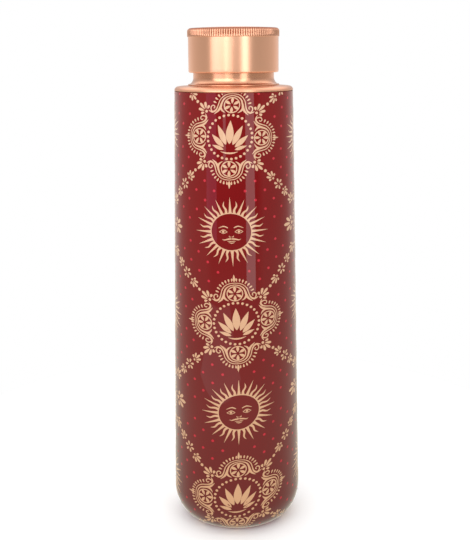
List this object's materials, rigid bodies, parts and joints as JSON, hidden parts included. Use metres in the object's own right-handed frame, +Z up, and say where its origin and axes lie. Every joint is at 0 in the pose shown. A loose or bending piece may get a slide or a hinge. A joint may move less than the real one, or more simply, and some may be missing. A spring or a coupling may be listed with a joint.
{
  "type": "copper water bottle",
  "caption": "Tall, slightly tapered copper water bottle with a printed lacquer body, a threaded neck and a screw cap with a proud knurled rim.",
  "frame": {"origin": "centre of the base, on the surface that the bottle stands on", "axes": "+Z up along the bottle's own axis, the middle column of the print faces -Y"},
  "size_m": [0.0738, 0.0738, 0.285],
  "materials": {
    "plain_copper": "plain drawn copper sheet, satin",
    "maroon_lacquer": "glossy clear lacquer over a maroon and copper-coloured print",
    "brushed_copper": "spun and brushed copper with fine rings",
    "neck_copper": "brushed copper",
    "insert_copper": "plain copper, satin",
    "cap_copper": "brushed copper with horizontal lathe lines and a knurled rim",
    "silicone": "translucent white silicone, matt"
  },
  "bodies": {
    "bottle": {"body_shell": "plain_copper", "printed_sleeve": "maroon_lacquer", "shoulder_ring": "brushed_copper", "neck_tube": "neck_copper"},
    "seal": {"seal_washer": "silicone"},
    "cap": {"thread_insert": "insert_copper", "cap_shell": "cap_copper"}
  },
  "joints": [
    {"name": "cap_lift", "type": "slide", "parent": "bottle", "child": "seal", "axis": [0, 0, 1], "range_m": [0, 0.0251]},
    {"name": "cap_turn", "type": "hinge", "parent": "seal", "child": "cap", "pos_m": [0, 0, 0.2603], "axis": [0, 0, 1], "range_deg": [0, 1800]}
  ],
  "couplings": [
    {"joint": "cap_lift", "follows": "cap_turn", "m_per_rad": 0.00079577}
  ]
}
